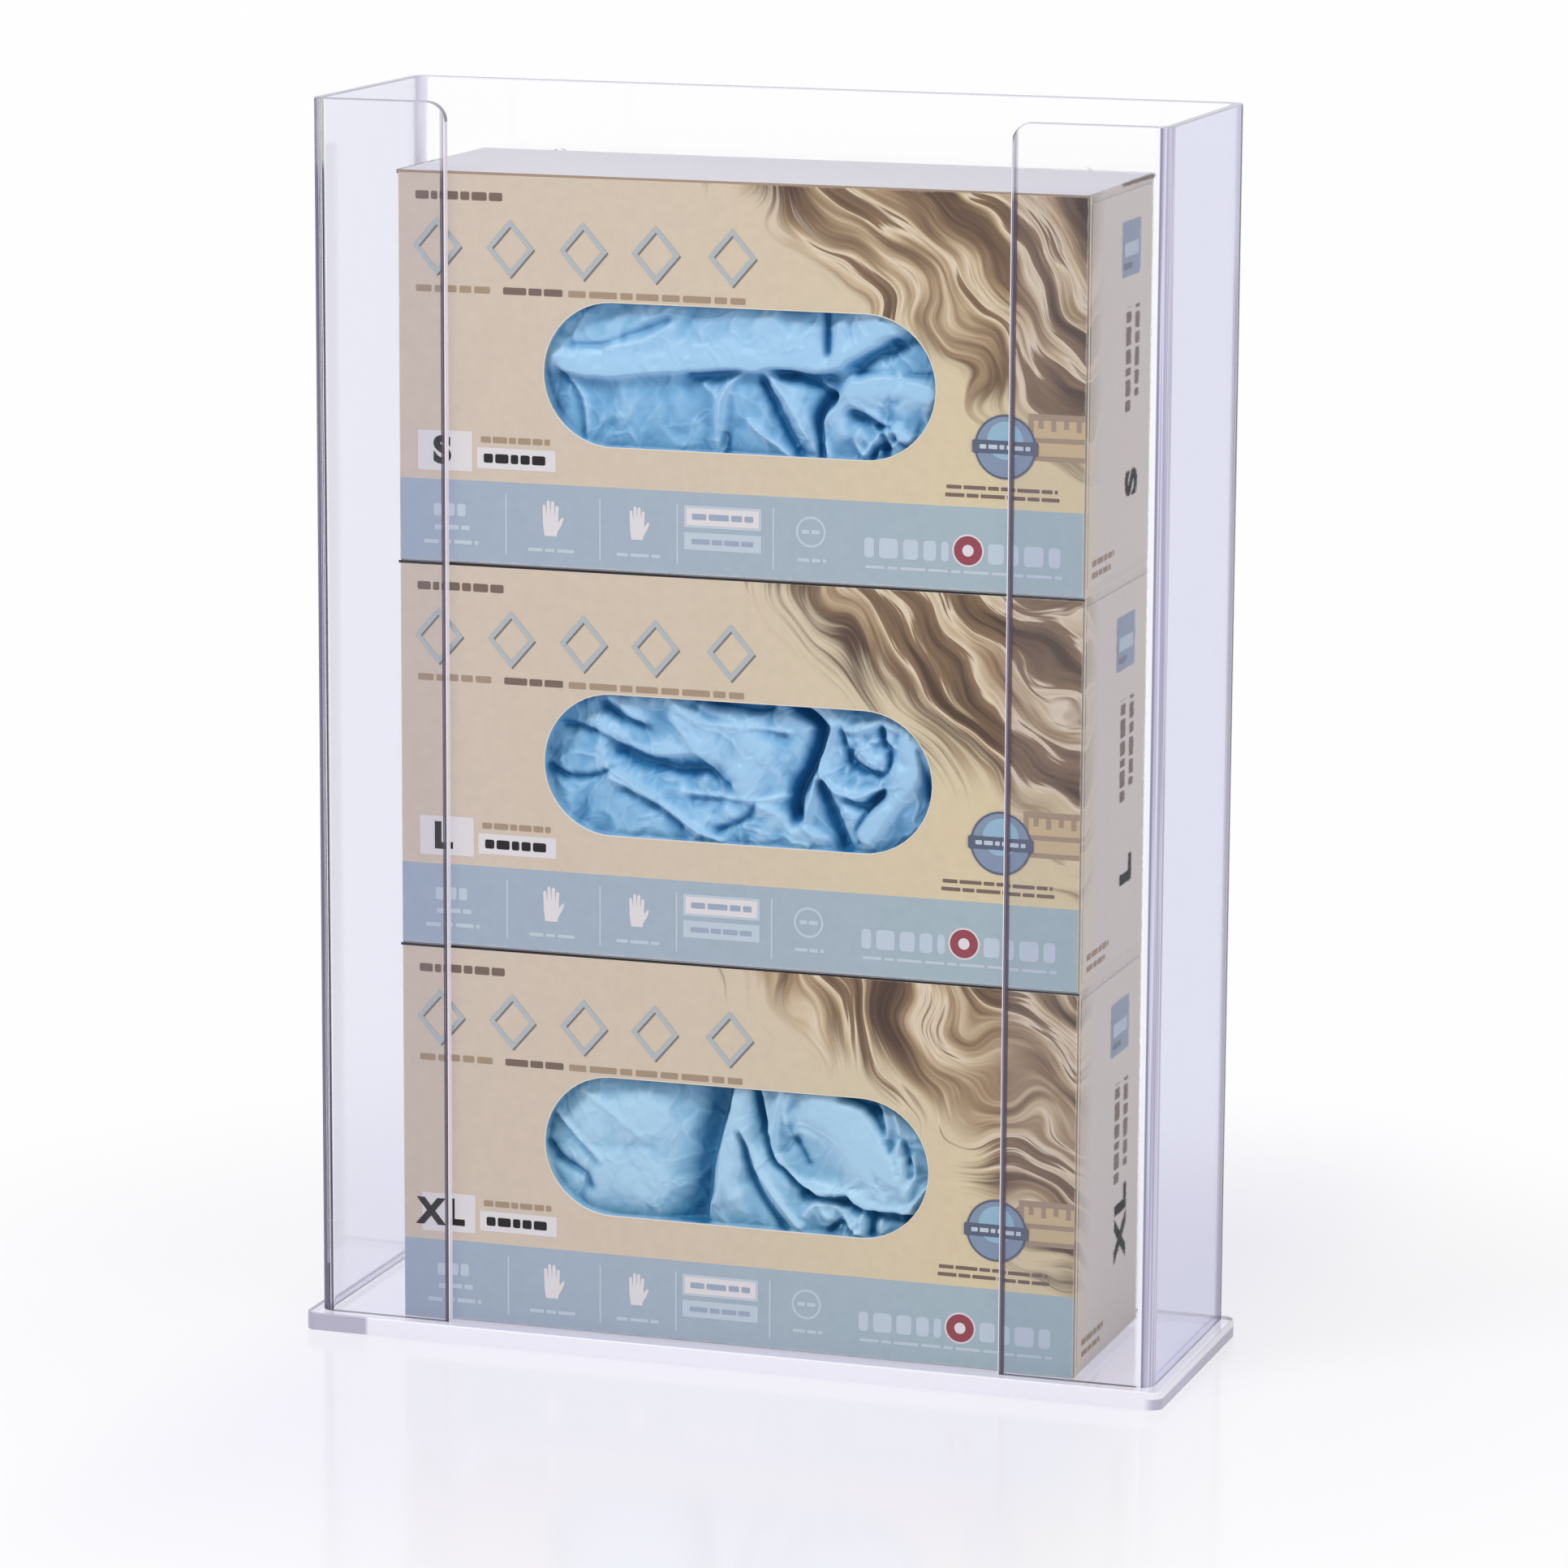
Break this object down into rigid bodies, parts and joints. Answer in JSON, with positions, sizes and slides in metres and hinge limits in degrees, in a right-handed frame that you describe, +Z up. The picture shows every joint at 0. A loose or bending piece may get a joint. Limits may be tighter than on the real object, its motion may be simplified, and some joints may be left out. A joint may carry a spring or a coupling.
{
  "type": "disposable glove dispenser",
  "caption": "Clear bent-sheet holder on a flat base plate, keeping a stack of glove cartons with oval openings behind its front lips, with screw holes in the back.",
  "frame": {"origin": "middle of the footprint on the surface it stands on", "axes": "+Z up, -Y is the open front with the two lips, +Y is the flat back, +X is the viewer's right from the front"},
  "size_m": [0.298, 0.098, 0.414],
  "materials": {
    "clear_sheet": "polished clear acrylic sheet",
    "clear_plate": "polished clear acrylic plate",
    "carton_board": "satin printed board",
    "glove_film": "soft satin film"
  },
  "bodies": {
    "root": {"body_shell": "clear_sheet", "base_plate": "clear_plate", "carton_small": "carton_board", "carton_large": "carton_board", "carton_extra_large": "carton_board", "gloves_small": "glove_film", "gloves_large": "glove_film", "gloves_extra_large": "glove_film"}
  },
  "joints": []
}
